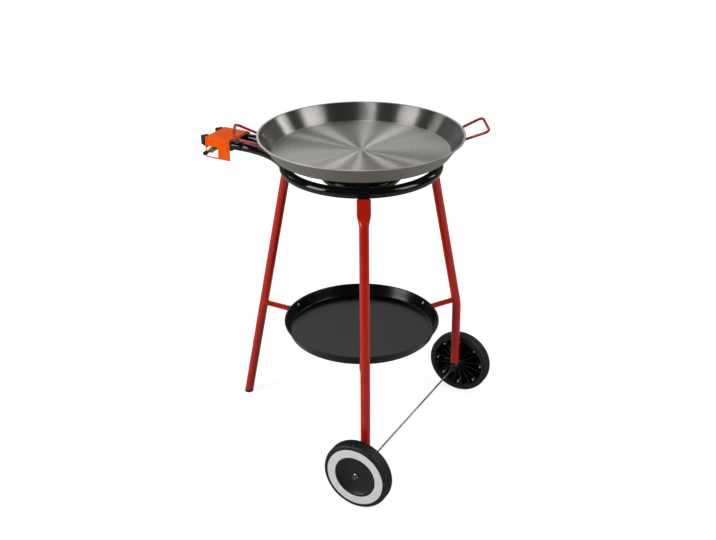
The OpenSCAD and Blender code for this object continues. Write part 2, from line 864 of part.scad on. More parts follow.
module wheeled_leg(az) {
    color(red_paint)
        at_leg_top(az) {
            leg_head();
            leg_tube(upper_l);
            translate([0, 0, -upper_l - slit]) {
                tube_bend(knee_bend, leg_lean - low_lean, leg_d, leg_wall);
                past_bend(knee_bend, leg_lean - low_lean) translate([0, 0, -slit])
                    tube_down(lower_l, leg_d, leg_wall);
            }
        }
}

module front_leg() {
    wheeled_leg(front_az);
}

module right_leg() {
    wheeled_leg(right_az);
}

module left_leg() {
    color(red_paint)
        at_leg_top(left_az) {
            leg_head();
            leg_tube(foot_l);
        }
}

// Plug in the leg end with a sole that lies flat on the floor
module foot_cap() {
    plug_l = 24;
    plug_d = leg_d - 2 * leg_wall - 2 * pin_gap;
    color(black_plastic)
        difference() {
            at_leg_top(left_az) translate([0, 0, -foot_l]) {
                translate([0, 0, -4 * foot_t]) cylinder(d = leg_d, h = 4 * foot_t - pin_gap);
                translate([0, 0, -foot_t]) cylinder(d = plug_d, h = plug_l + foot_t);
            }
            at_az(left_az) translate([leg_r(0) - far / 2, -far / 2, -far]) cube(far);
        }
}

// Plug in a wheeled leg's end with an eye for the axle
module axle_block(az) {
    plug_l = 28;
    plug_d = leg_d - 2 * leg_wall - 2 * pin_gap;
    eye_d = 26;
    color(black_plastic)
        difference() {
            union() {
                at_az(az) translate([leg_end_r, 0, leg_end_z]) rotate([0, -low_lean, 0])
                    translate([0, 0, -leg_end_rise]) {
                        cylinder(d = leg_d, h = leg_end_rise - pin_gap);
                        cylinder(d = plug_d, h = leg_end_rise + plug_l);
                    }
                at_az(az) translate([axle_r, 0, axle_z]) rotate([0, 0, axle_az - az]) rotate([0, 90, 0])
                    cylinder(d = eye_d, h = 2 * block_half, center = true);
            }
            at_axle() cylinder(d = axle_d + 2 * pin_gap, h = 4 * axle_half, center = true);
        }
}

module front_axle_block() {
    axle_block(front_az);
}

module right_axle_block() {
    axle_block(right_az);
}

module axle_rod() {
    color(zinc) at_axle() cylinder(d = axle_d, h = 2 * axle_end, center = true);
}

module axle_washers() {
    color(zinc)
        for (side = [-1, 1]) at_wheel(side) translate([0, 0, block_half + pin_gap]) difference() {
            cylinder(r = cap_r, h = washer_t);
            translate([0, 0, -eps]) cylinder(d = axle_d + 2 * pin_gap, h = far);
        }
}

// Push-on caps that keep the wheels on the axle
module axle_caps() {
    color(zinc)
        for (side = [-1, 1]) at_wheel(side) translate([0, 0, wheel_face - hub_dish + side_play])
            difference() {
                union() {
                    cylinder(r = cap_r, h = cap_flange);
                    translate([0, 0, cap_flange]) cylinder(r1 = cap_r * 0.8, r2 = axle_d * 0.7, h = cap_l);
                }
                translate([0, 0, -eps]) cylinder(d = axle_d + 2 * pin_gap, h = far);
            }
}

// Tray

module tray() {
    corners = [[0, tray_z + tray_sheet / 2], [tray_bottom_d / 2, tray_z + tray_sheet / 2],
        [tray_d / 2 - tray_lip, tray_z + tray_h - tray_sheet / 2],
        [tray_d / 2, tray_z + tray_h - tray_sheet / 2]];
    tray_bend = 6;
    color(black_enamel)
        difference() {
            at_stand() rotate_extrude() section(corners, tray_sheet, [tray_bend, tray_sheet]);
            for (az = LEG_AZ) at_tray_wall(az) tray_bolt_hole();
        }
}

module tray_bolt_hole() {
    translate([0, 0, tray_bolt_up]) rotate([0, 90, 0])
        cylinder(d = tray_bolt_d + 2 * pin_gap, h = 8 * arm_flat_t, center = true, $fn = pin_fn);
}

// Tube arm from a leg, flattened and turned up along the tray wall
module tray_arm(az) {
    tab_l = tray_bolt_up + 5;
    flat_x = tray_d / 2 + 19;
    tube_x = flat_x + 16;
    end_t = 4;
    wall_out = (tray_sheet / 2 + pin_gap + arm_flat_t / 2) / cos(tray_lean);
    low = [tray_bottom_d / 2 + wall_out + (arm_z - tray_z - tray_sheet / 2) * tan(tray_lean), arm_z];
    top = low + tab_l * [sin(tray_lean), cos(tray_lean)];
    color(red_paint)
        difference() {
            union() {
                at_az(az) {
                    radial_bar(arm_flat_w)
                        section([[flat_x + lap, arm_z], low, top], arm_flat_t, [arm_flat_t]);
                    hull() {
                        translate([flat_x, 0, arm_z]) rotate([0, 90, 0]) linear_extrude(eps)
                            square([arm_flat_t + blend, arm_flat_w + blend], center = true);
                        translate([tube_x, 0, arm_z]) rotate([0, 90, 0]) linear_extrude(eps)
                            circle(d = arm_d + blend, $fn = hull_fn);
                    }
                    translate([tube_x - lap, 0, arm_z]) rotate([0, 90, 0]) difference() {
                        cylinder(d = arm_d, h = leg_r(arm_z) - tube_x);
                        translate([0, 0, end_t]) cylinder(d = arm_d - 2 * arm_wall, h = far);
                    }
                }
            }
            at_leg_top(az) translate([0, 0, -foot_l]) cylinder(d = leg_d + 2 * pin_gap, h = foot_l);
            at_tray_wall(az) tray_bolt_hole();
        }
}

module front_tray_arm() {
    tray_arm(front_az);
}

module right_tray_arm() {
    tray_arm(right_az);
}

module left_tray_arm() {
    tray_arm(left_az);
}

module tray_bolts() {
    head_t = 3;
    shank = tray_sheet + arm_flat_t + tray_nut_t + 3;
    color(zinc)
        for (az = LEG_AZ) at_tray_wall(az) translate([-tray_sheet - pin_gap, 0, tray_bolt_up])
            rotate([0, 90, 0]) {
                translate([0, 0, -head_t]) cylinder(d1 = tray_bolt_d * 1.3, d2 = tray_bolt_d * 2, h = head_t);
                translate([0, 0, -pin_gap]) cylinder(d = tray_bolt_d, h = shank, $fn = pin_fn);
            }
}

module tray_nuts() {
    color(zinc)
        for (az = LEG_AZ) at_tray_wall(az) translate([2 * pin_gap + arm_flat_t, 0, tray_bolt_up])
            rotate([0, 90, 0]) difference() {
                cylinder(d = tray_bolt_d * 1.9, h = tray_nut_t, $fn = 6);
                translate([0, 0, -eps]) cylinder(d = tray_bolt_d + 2 * pin_gap, h = far, $fn = pin_fn);
            }
}

// Wheels

// Solid rubber tyre with rounded shoulders
module tyre(side) {
    color(rubber)
        at_wheel(side) translate([0, 0, wheel_out]) rotate_extrude() intersection() {
            translate([tyre_r, -tyre_w / 2]) square([tyre_t, tyre_w]);
            union() {
                translate([tyre_r, -tyre_w / 2]) square([tyre_t - shoulder, tyre_w]);
                translate([tyre_r, -tyre_w / 2 + shoulder]) square([tyre_t, tyre_w - 2 * shoulder]);
                for (s = [-1, 1]) translate([axle_z - shoulder, s * (tyre_w / 2 - shoulder)]) circle(shoulder);
            }
        }
}

// Moulded hub: rim, dished web, ribs on the inner side and a boss that turns on the axle
module wheel_hub(side) {
    rim_t = 5;
    rim_r = tyre_r - pin_gap;
    rim_in = wheel_back + 1;
    rib_t = 2.5;
    rib_in = wheel_back + 6;
    dish_edge = 5;
    trim_seat = wheel_face - trim_t - pin_gap;
    color(black_plastic)
        at_wheel(side) difference() {
            union() {
                translate([0, 0, rim_in]) difference() {
                    cylinder(r = rim_r, h = trim_seat - rim_in);
                    translate([0, 0, -eps]) cylinder(r = rim_r - rim_t, h = far);
                }
                translate([0, 0, trim_seat - web_t]) cylinder(r = rim_r, h = web_t);
                translate([0, 0, hub_in]) cylinder(r = hub_boss_r, h = wheel_face - hub_dish - hub_in);
                translate([0, 0, trim_seat - eps])
                    cylinder(r = trim_in_r - pin_gap, h = wheel_face - trim_seat + eps);
                for (i = [0 : hub_ribs - 1]) rotate([0, 0, (i + 0.5) * 360 / hub_ribs])
                    translate([hub_boss_r - rib_t, -rib_t / 2, rib_in])
                        cube([rim_r - rim_t - hub_boss_r + 2 * rib_t, rib_t, trim_seat - rib_t - rib_in]);
            }
            translate([0, 0, wheel_face - hub_dish]) cylinder(r1 = trim_in_r - dish_edge - hub_dish,
                r2 = trim_in_r - dish_edge, h = hub_dish + eps);
            translate([0, 0, -eps]) cylinder(d = axle_d + 2 * run_gap, h = far);
            for (i = [0 : trim_pins - 1]) rotate([0, 0, i * 360 / trim_pins]) translate([trim_pin_r, 0, 0])
                cylinder(d = trim_pin_d + 2 * pin_gap, h = far, $fn = pin_fn);
        }
}

// White ring on the outer face, with pins through the web
module trim_ring(side) {
    pin_l = web_t + 3;
    color(white_plastic)
        at_wheel(side) translate([0, 0, wheel_face - trim_t]) {
            difference() {
                cylinder(r = trim_r, h = trim_t);
                translate([0, 0, -eps]) cylinder(r = trim_in_r, h = far);
            }
            for (i = [0 : trim_pins - 1]) rotate([0, 0, i * 360 / trim_pins])
                translate([trim_pin_r, 0, -pin_l]) cylinder(d = trim_pin_d, h = pin_l, $fn = pin_fn);
        }
}

module front_tyre() {
    tyre(-1);
}

module front_wheel_hub() {
    wheel_hub(-1);
}

module front_trim_ring() {
    trim_ring(-1);
}

module right_tyre() {
    tyre(1);
}

module right_wheel_hub() {
    wheel_hub(1);
}

module right_trim_ring() {
    trim_ring(1);
}

pan();
left_handle();
right_handle();
handle_rivets();
outer_ring();
inner_ring();
outer_feed_tube();
inner_feed_tube();
front_support();
right_support();
left_support();
burner_bracket();
control_panel();
panel_screws();
gas_rail();
hose_nipple();
nipple_cap();
outer_valve();
inner_valve();
outer_injector();
inner_injector();
outer_valve_stem();
inner_valve_stem();
outer_knob();
inner_knob();
front_leg();
right_leg();
left_leg();
foot_cap();
front_axle_block();
right_axle_block();
axle_rod();
axle_washers();
axle_caps();
tray();
front_tray_arm();
right_tray_arm();
left_tray_arm();
tray_bolts();
tray_nuts();
front_tyre();
front_wheel_hub();
front_trim_ring();
right_tyre();
right_wheel_hub();
right_trim_ring();
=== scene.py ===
"""Gas paella burner on a wheeled stand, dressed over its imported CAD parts."""
import json
import math

import bmesh
import bpy
from mathutils import Matrix, Vector


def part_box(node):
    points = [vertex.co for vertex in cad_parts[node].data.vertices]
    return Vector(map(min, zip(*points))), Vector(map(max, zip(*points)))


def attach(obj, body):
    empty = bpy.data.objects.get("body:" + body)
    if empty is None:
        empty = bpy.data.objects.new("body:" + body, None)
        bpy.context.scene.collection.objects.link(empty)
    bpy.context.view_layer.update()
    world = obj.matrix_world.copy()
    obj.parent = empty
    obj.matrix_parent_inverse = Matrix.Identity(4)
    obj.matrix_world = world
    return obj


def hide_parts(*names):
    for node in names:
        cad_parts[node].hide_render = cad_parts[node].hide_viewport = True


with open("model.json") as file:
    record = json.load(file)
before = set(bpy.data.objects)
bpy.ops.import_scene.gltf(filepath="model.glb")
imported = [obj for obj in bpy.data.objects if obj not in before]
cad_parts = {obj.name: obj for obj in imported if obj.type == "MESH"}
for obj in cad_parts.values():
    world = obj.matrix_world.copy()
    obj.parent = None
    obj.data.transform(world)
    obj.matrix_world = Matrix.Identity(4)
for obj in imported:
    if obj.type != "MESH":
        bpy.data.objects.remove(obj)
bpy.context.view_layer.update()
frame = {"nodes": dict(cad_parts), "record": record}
MM = 0.001

# The stand's axis in the shared frame, which is also the axis of the pan, the rings and the tray
AXIS = Vector((26, 80, 0)) * MM
# Way of the wheels' axle, from the front wheel to the right one
AXLE = Vector((math.cos(math.radians(60)), math.sin(math.radians(60)), 0))
# Where the legs stand around the axis, in degrees
LEG_AZIMUTH = {"front": -90, "right": 30, "left": 150}


def linear(code):
    """sRGB hex colour as linear RGBA."""
    parts = [int(code[i:i + 2], 16) / 255 for i in (1, 3, 5)]
    return tuple(c / 12.92 if c <= 0.04045 else ((c + 0.055) / 1.055) ** 2.4 for c in parts) + (1.0,)


def add(tree, kind, links=None, **settings):
    """Adds one node: settings are its properties, links its inputs, as values or as other nodes' outputs."""
    node = tree.nodes.new(kind)
    for name, value in settings.items():
        setattr(node, name, value)
    for name, value in (links or {}).items():
        if isinstance(value, bpy.types.NodeSocket):
            tree.links.new(value, node.inputs[name])
        else:
            node.inputs[name].default_value = value
    return node


# Materials

# Depth of the grain of coats and mouldings, and of grinding scratches
GRAIN_DEPTH = 0.15 * MM
# Scratches and passes of the grinding wheel, both drawn some times coarser than real ones so that they show
SCRATCH, GRIND_PASS = 1.1 * MM, 9 * MM
# Where most values of one noise lie, and of the sum of two
ONE_NOISE, TWO_NOISES = (0.3, 0.7), (0.7, 1.3)


def start_material(name, sockets):
    """A material with one Principled shader, and its tree, shader and Object coordinates to work on."""
    material = bpy.data.materials.new(name)
    material.use_nodes = True
    tree = material.node_tree
    shader = tree.nodes["Principled BSDF"]
    for socket, value in sockets.items():
        shader.inputs[socket.replace("_", " ")].default_value = value
    return material, tree, shader, add(tree, "ShaderNodeTexCoord").outputs["Object"]


def drift(tree, shader, fac, span, rough, tones):
    """Lets roughness and base colour drift together between two values, as a factor crosses a span."""
    share = add(tree, "ShaderNodeMapRange",
                {"Value": fac, "From Min": span[0], "From Max": span[1]}).outputs["Result"]
    gloss = add(tree, "ShaderNodeMapRange", {"Value": share, "To Min": rough[0], "To Max": rough[1]})
    # 6, 7 and 2 are the colour inputs and the colour output of a Mix node
    tone = add(tree, "ShaderNodeMix",
               {"Factor": share, 6: linear(tones[0]), 7: linear(tones[1])}, data_type="RGBA")
    tree.links.new(gloss.outputs["Result"], shader.inputs["Roughness"])
    tree.links.new(tone.outputs[2], shader.inputs["Base Color"])


def finish(name, blotch, rough, tones, grain, relief, **sockets):
    """A surface whose gloss and colour drift in soft blotches, under a fine grain; both are given as sizes."""
    material, tree, shader, coords = start_material(name, sockets)
    cloud, fine = (add(tree, "ShaderNodeTexNoise", {"Vector": coords, "Scale": 1 / size, "Detail": detail})
                   for size, detail in ((blotch, 4.0), (grain, 2.0)))
    drift(tree, shader, cloud.outputs["Fac"], ONE_NOISE, rough, tones)
    bump = add(tree, "ShaderNodeBump",
               {"Height": fine.outputs["Fac"], "Strength": relief, "Distance": GRAIN_DEPTH})
    tree.links.new(bump.outputs["Normal"], shader.inputs["Normal"])
    return material


def pan_steel(name, rough, tones, relief, **sockets):
    """Carbon steel worked in circles around the pan's axis: grey, with rings, and light drawn out across them."""
    material, tree, shader, coords = start_material(name, dict(sockets, Metallic=1.0))
    about = add(tree, "ShaderNodeMapping", {"Vector": coords, "Location": (-AXIS.x, -AXIS.y, 0)})
    xyz = add(tree, "ShaderNodeSeparateXYZ", {"Vector": about.outputs["Vector"]}).outputs
    flat = add(tree, "ShaderNodeCombineXYZ", {"X": xyz["X"], "Y": xyz["Y"]}).outputs[0]
    radius = add(tree, "ShaderNodeVectorMath", {0: flat}, operation="LENGTH").outputs["Value"]
    along = add(tree, "ShaderNodeMath", {0: radius, 1: xyz["Z"]}, operation="ADD").outputs[0]
    rings, passes = (add(tree, "ShaderNodeTexNoise", {"W": along, "Scale": 1 / pitch, "Detail": 3.0},
                         noise_dimensions="1D").outputs["Fac"] for pitch in (SCRATCH, GRIND_PASS))
    both = add(tree, "ShaderNodeMath", {0: rings, 1: passes}, operation="ADD").outputs[0]
    drift(tree, shader, both, TWO_NOISES, rough, tones)
    # Scratches run around the pan, so reflections are drawn out towards and away from its middle
    outwards = add(tree, "ShaderNodeVectorMath", {0: flat}, operation="NORMALIZE").outputs[0]
    tree.links.new(outwards, shader.inputs["Tangent"])
    if relief:
        bump = add(tree, "ShaderNodeBump", {"Height": rings, "Strength": relief, "Distance": GRAIN_DEPTH})
        tree.links.new(bump.outputs["Normal"], shader.inputs["Normal"])
    return material


# Floor of the pan: ground with coarse grit, so dull, with spokes of light
PAN_FLOOR = pan_steel("carbon_steel_ground", (0.35, 0.41), ("#adaba5", "#bebcb6"), 0.12, Anisotropic=1.0)
# Inner wall: spun smooth, with clear upright bands of light; its grey is painted darker than the floor's, as
# shade
PAN_WALL_PAINTED_SHADE = pan_steel("carbon_steel_spun_painted_shade", (0.28, 0.3), ("#807e7b", "#888683"), 0, Anisotropic=1.0)
# Lip: rolled over; its grey is painted lighter than the rest of the pan, as a highlight, so a bright line
PAN_LIP_PAINTED_HIGHLIGHT = pan_steel("carbon_steel_rolled_painted_highlight", (0.28, 0.3), ("#c2c0ba", "#cac8c2"), 0, Anisotropic=1.0)
# Outside: satin from the mill, an even warm grey that is painted darker than the floor's, as shade on the faces
# that look down
PAN_OUTSIDE_PAINTED_SHADE = pan_steel("carbon_steel_satin_painted_shade", (0.52, 0.58), ("#8e8b82", "#98958d"), 0)

# The grain of the finishes below is drawn two or three times coarser than the real one, so that it shows

# Black stove enamel on tube and bar: deep black and glossy, with a slight orange peel
STOVE_ENAMEL = finish("black_stove_enamel", 25 * MM, (0.07, 0.12), ("#040404", "#090909"), 3 * MM, 0.1,
                      IOR=1.5, Specular_IOR_Level=0.32)
# Black enamel on thin pressed sheet: satin, goes grey where it faces the light
TRAY_ENAMEL = finish("satin_black_enamel", 40 * MM, (0.18, 0.24), ("#050505", "#090909"), 4 * MM, 0.06,
                     IOR=1.5, Specular_IOR_Level=0.2)
# Red paint baked on tube: glossy, with narrow highlights along the tube
RED_PAINT = finish("red_enamel_paint", 30 * MM, (0.14, 0.2), ("#bc1901", "#c72003"), 6 * MM, 0.1,
                   IOR=1.5, Specular_IOR_Level=0.4)
# Coat on the handle wire: softer than the legs' paint, and its red is painted darker than theirs as shade
HANDLE_RED_PAINTED_SHADE = finish("handle_red_painted_shade", 30 * MM, (0.25, 0.36), ("#9c1415", "#b01b1b"), 3 * MM, 0.1,
                     IOR=1.5, Specular_IOR_Level=0.4)
# Powder coat on folded sheet: matt orange with a fine grain
POWDER_COAT = finish("orange_powder_coat", 30 * MM, (0.55, 0.7), ("#f55703", "#fd6105"), 1.5 * MM, 0.1,
                     IOR=1.5, Specular_IOR_Level=0.07)
# Bright zinc plate on rod and screws: pale grey metal, a little blotched
ZINC = finish("zinc_plated_steel", 4 * MM, (0.28, 0.45), ("#8d9092", "#b8bbbe"), 0.8 * MM, 0.05, Metallic=1.0)
# Turned brass: warm yellow metal, a little dull in places
BRASS = finish("turned_brass", 3 * MM, (0.25, 0.4), ("#b48d3a", "#d2ae5a"), 0.8 * MM, 0.05, Metallic=1.0)
# Moulded polypropylene: black or white with the mould's grain, neither dull nor bright
BLACK_PLASTIC = finish("black_polypropylene", 18 * MM, (0.42, 0.55), ("#070707", "#0c0c0c"), 1.2 * MM, 0.3,
                       IOR=1.49, Specular_IOR_Level=0.4)
WHITE_PLASTIC = finish("white_polypropylene", 18 * MM, (0.45, 0.55), ("#ecebe8", "#f5f4f1"), 1.2 * MM, 0.3,
                       IOR=1.49, Specular_IOR_Level=0.4)
# Solid rubber: dull dark grey
RUBBER = finish("solid_rubber", 18 * MM, (0.5, 0.65), ("#090909", "#0f0f0f"), 1.5 * MM, 0.3,
                IOR=1.52, Specular_IOR_Level=0.4)

FINISH = {"polished_steel": PAN_WALL_PAINTED_SHADE, "black_enamel": STOVE_ENAMEL, "red_enamel": RED_PAINT,
          "orange_paint": POWDER_COAT, "zinc_steel": ZINC, "brass": BRASS, "black_plastic": BLACK_PLASTIC,
          "tyre_rubber": RUBBER, "white_plastic": WHITE_PLASTIC}
SLOT = {s["node"]: s["material_slot"] for s in frame["record"]["subparts"]}
BODY = {n: b for b, nodes in frame["record"]["behaviour"]["bodies"].items() for n in nodes}
# Nodes that look unlike their slot, each with the slot whose finish it takes: the handles have a softer coat of
# their own whose red is painted darker as shade, the tray a duller enamel, the panel's screws the panel's paint
# and the handles' rivets the pan wall's steel, whose grey is painted darker as shade
SPECIAL = {"left_handle": (HANDLE_RED_PAINTED_SHADE, "red_enamel"), "right_handle": (HANDLE_RED_PAINTED_SHADE, "red_enamel"),
           "tray": (TRAY_ENAMEL, "black_enamel"), "panel_screws": (POWDER_COAT, "orange_paint"),
           "handle_rivets": (PAN_WALL_PAINTED_SHADE, "polished_steel")}

# Skins over the CAD nodes

# Vertices of a CAD mesh closer than this are one
MERGE = 2e-6
# Edges sharper than this, in degrees, stay sharp: on CAD nodes, and on the legs
NODE_EDGE, LEG_EDGE = 32, 40
# Pan: the wall, whose grey is painted darker as shade, starts above this height; the lip, whose grey is painted
# lighter as a highlight, lies outside this radius; and the outside, whose grey is painted darker as shade, looks
# down by this much
PAN_WALL_Z, PAN_LIP_R, PAN_DOWNWARDS = 947.6 * MM, 294 * MM, -0.2


def new_piece(name, mesh, materials, body):
    """Links a finished mesh as a piece that rides on a body."""
    piece = bpy.data.objects.new(name, mesh)
    bpy.context.scene.collection.objects.link(piece)
    mesh.materials.clear()
    for material in materials:
        mesh.materials.append(material)
    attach(piece, body)
    return piece


def soften(mesh, edge):
    """Shades a mesh softly, apart from edges sharper than an angle in degrees."""
    mesh.polygons.foreach_set("use_smooth", [True] * len(mesh.polygons))
    mesh.set_sharp_from_angle(angle=math.radians(edge))


def smooth_skin(node, materials):
    """A merged copy of a CAD node with soft shading over its curves, which stands for the node."""
    work = bmesh.new()
    work.from_mesh(frame["nodes"][node].data)
    bmesh.ops.remove_doubles(work, verts=work.verts, dist=MERGE)
    mesh = bpy.data.meshes.new(node + "_skin")
    work.to_mesh(mesh)
    work.free()
    soften(mesh, NODE_EDGE)
    piece = new_piece(node + "_skin", mesh, materials, BODY[node])
    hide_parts(node)
    return piece


def pan_zone(face):
    """Which of the pan's four finishes a face has: floor, inner wall painted darker as shade, lip painted lighter
    as a highlight, or downward-facing outside painted darker as shade.
    """
    if face.normal.z < PAN_DOWNWARDS:
        return 3
    if (face.center - AXIS).to_2d().length > PAN_LIP_R:
        return 2
    return 1 if face.center.z > PAN_WALL_Z else 0


def around(azimuth):
    """From a place out along x beside the stand's axis to the same place at an azimuth in degrees."""
    return Matrix.Translation(AXIS) @ Matrix.Rotation(math.radians(azimuth), 4, "Z")


# Legs: one smooth skin each, from the flattened head over the taper and the knee to the lower end.
# Sizes in millimetres, as in the CAD part.
LEG_D, LEG_WALL = 28.0, 1.5
LEAN, LOW_LEAN = math.radians(12.25), math.radians(0.5)
# Flattened head: length, taper below it and gap inside, then half its thickness and the straight of its sides
FLAT_L, TAPER_L, FLAT_GAP = 58.0, 36.0, 5.1
FLAT_FACE = FLAT_GAP / 2 + LEG_WALL
FLAT_STRAIGHT = math.pi * (LEG_D - FLAT_GAP - 2 * LEG_WALL) / 2
# Outer ring, beside which the heads stand: height, radius, tube and gap
RING_Z, RING_R, RING_TUBE, SEAT_GAP = 901.0, 223.5, 30.5, 0.3
TAB_R = RING_R + (RING_TUBE / 2 + SEAT_GAP + FLAT_FACE) / math.cos(LEAN)
# Path: height of the top, radius of the knee, lengths above and below it, and length of the leg without one
LEG_TOP_Z, KNEE_R, UPPER_L, LOWER_L, STRAIGHT_L = 908.0, 150.0, 560.5, 206.75, 918.95
# Dimple pressed into the head, over the tab
DIMPLE_R, DIMPLE_DEEP, DIMPLE_DOWN = 3.5, 0.8, 43.0
# The photograph shows more of the black tabs than the CAD part does, so the skins start this much lower
HEAD_DROP = 16.0
# How deep the hollows go that show in the head, from the CAD's top, and in the lower end
POCKET_L, PLUG_L = 56.0, 25.0
# Points around a section, and steps along the dimple, the taper and the knee
RIM_POINTS, DIMPLE_STEPS, TAPER_STEPS, KNEE_STEPS = 120, 14, 14, 10
# A slot with next to no straight side is a round tube
NO_STRAIGHT = 0.001


def leg_r(z):
    """Distance of the middle of a leaning leg from the stand's axis."""
    return TAB_R - math.tan(LEAN) * (z - RING_Z)


def slot_rim(straight, thick):
    """Points evenly around a slot shape with rounded ends, long along y."""
    arc = math.pi * thick / 2
    points = []
    for k in range(RIM_POINTS):
        half, at = divmod(k / RIM_POINTS * 2 * (straight + arc) + straight / 2, straight + arc)
        side = -1 if half == 1 else 1
        if at < straight:
            points.append((side * thick / 2, side * (at - straight / 2)))
        else:
            turn = (at - straight) / arc * math.pi
            points.append((side * thick / 2 * math.cos(turn),
                           side * (straight / 2 + thick / 2 * math.sin(turn))))
    return points


def leg_rim(down, wall):
    """Section of a leg at a length below its top, taken in by a wall thickness."""
    share = min(max((down - FLAT_L) / TAPER_L, 0), 1)
    share = share * share * (3 - 2 * share)
    head = slot_rim(FLAT_STRAIGHT, 2 * (FLAT_FACE - wall))
    tube = slot_rim(NO_STRAIGHT, LEG_D - 2 * wall)
    rim = [((1 - share) * a[0] + share * b[0], (1 - share) * a[1] + share * b[1]) for a, b in zip(head, tube)]
    if wall == 0 and abs(down - DIMPLE_DOWN) < DIMPLE_R:
        for k, (x, y) in enumerate(rim):
            off = math.hypot(y, down - DIMPLE_DOWN) / DIMPLE_R
            if x > 0 and off < 1:
                rim[k] = (x - DIMPLE_DEEP * (1 - off * off), y)
    return rim


def below(length):
    """Step down along a leg."""
    return Matrix.Translation((0, 0, -length))


def leg_skin(node, azimuth, knee):
    """Skin of a leg around its path; the wheeled legs have a knee, the other one runs straight to its foot."""
    top = Matrix.Translation((leg_r(LEG_TOP_Z), 0, LEG_TOP_Z)) @ Matrix.Rotation(-LEAN, 4, "Y")
    dimple = [DIMPLE_DOWN + DIMPLE_R * (2 * k / DIMPLE_STEPS - 1) for k in range(DIMPLE_STEPS + 1)]
    taper = [FLAT_L + TAPER_L * k / TAPER_STEPS for k in range(TAPER_STEPS + 1)]
    # The flat part has a few plain sections before and after the dimple
    stops = [(down, top @ below(down)) for down in (HEAD_DROP, HEAD_DROP + 1, 20, 38, *dimple, 48, 53, *taper)]
    if knee:
        centre = top @ Matrix.Translation((-KNEE_R, 0, -UPPER_L))
        step = (LEAN - LOW_LEAN) / KNEE_STEPS
        bend = [centre @ Matrix.Rotation(step * k, 4, "Y") @ Matrix.Translation((KNEE_R, 0, 0))
                for k in range(KNEE_STEPS + 1)]
        stops += [(UPPER_L, place) for place in bend]
        stops.append((UPPER_L + LOWER_L, bend[-1] @ below(LOWER_L)))
    else:
        stops.append((STRAIGHT_L, top @ below(STRAIGHT_L)))
    end_down, end = stops[-1]
    rims = [(leg_rim(POCKET_L, LEG_WALL), top @ below(POCKET_L)),
            (leg_rim(HEAD_DROP, LEG_WALL), top @ below(HEAD_DROP))]
    rims += [(leg_rim(down, 0), place) for down, place in stops]
    rims += [(leg_rim(end_down, LEG_WALL), end), (leg_rim(end_down, LEG_WALL), end @ below(-PLUG_L))]
    points = [place @ Vector((x, y, 0)) for rim, place in rims for x, y in rim]
    faces = []
    for row in range(len(rims) - 1):
        for k in range(RIM_POINTS):
            a, b = row * RIM_POINTS + k, row * RIM_POINTS + (k + 1) % RIM_POINTS
            faces.append((a, a + RIM_POINTS, b + RIM_POINTS, b))
    last = (len(rims) - 1) * RIM_POINTS
    faces += [tuple(range(RIM_POINTS)), tuple(range(last, last + RIM_POINTS))[::-1]]
    mesh = bpy.data.meshes.new(node + "_skin")
    mesh.from_pydata([p * MM for p in points], [], faces)
    mesh.transform(around(azimuth))
    soften(mesh, LEG_EDGE)
    piece = new_piece(node + "_skin", mesh, [RED_PAINT], BODY[node])
    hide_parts(node)


for side, azimuth in LEG_AZIMUTH.items():
    leg_skin(side + "_leg", azimuth, side != "left")
# The pan's wall and downward-facing outside take greys painted darker as shade, its lip a grey painted lighter as
# a highlight
pan = smooth_skin("pan", [PAN_FLOOR, PAN_WALL_PAINTED_SHADE, PAN_LIP_PAINTED_HIGHLIGHT, PAN_OUTSIDE_PAINTED_SHADE])
pan.data.polygons.foreach_set("material_index", [pan_zone(face) for face in pan.data.polygons])
for part in frame["nodes"]:
    if part != "pan" and not part.endswith("_leg"):
        material, slot = SPECIAL.get(part, (FINISH[SLOT[part]], SLOT[part]))
        smooth_skin(part, [material])

# What repeats is grown by Geometry Nodes, in its own frame, and then set in place as a plain mesh


def start_tree(name, sockets):
    """A node tree with named inputs, and the outputs of its input node."""
    tree = bpy.data.node_groups.new(name, "GeometryNodeTree")
    tree.interface.new_socket("Geometry", in_out="INPUT", socket_type="NodeSocketGeometry")
    tree.interface.new_socket("Geometry", in_out="OUTPUT", socket_type="NodeSocketGeometry")
    for socket, kind in sockets.items():
        tree.interface.new_socket(socket, in_out="INPUT", socket_type="NodeSocket" + kind)
    return tree, add(tree, "NodeGroupInput").outputs


def end_tree(tree, instances, material):
    """Realizes the instances, gives them their material and ends the tree."""
    real = add(tree, "GeometryNodeRealizeInstances", {"Geometry": instances}).outputs[0]
    done = add(tree, "GeometryNodeSetMaterial", {"Geometry": real, "Material": material}).outputs[0]
    add(tree, "NodeGroupOutput", {"Geometry": done})
    return tree


def grow(name, tree, seed, settings):
    """Runs a tree on a seed mesh and gives back the plain mesh that it makes."""
    holder = bpy.data.objects.new(name, seed)
    bpy.context.scene.collection.objects.link(holder)
    grower = holder.modifiers.new(name, "NODES")
    grower.node_group = tree
    sockets = {i.name: i.identifier for i in tree.interface.items_tree if i.in_out == "INPUT"}
    for socket, value in settings.items():
        grower[sockets[socket]] = value
    view = holder.evaluated_get(bpy.context.evaluated_depsgraph_get())
    mesh = bpy.data.meshes.new_from_object(view)
    holder.modifiers.remove(grower)
    bpy.data.objects.remove(holder)
    return mesh


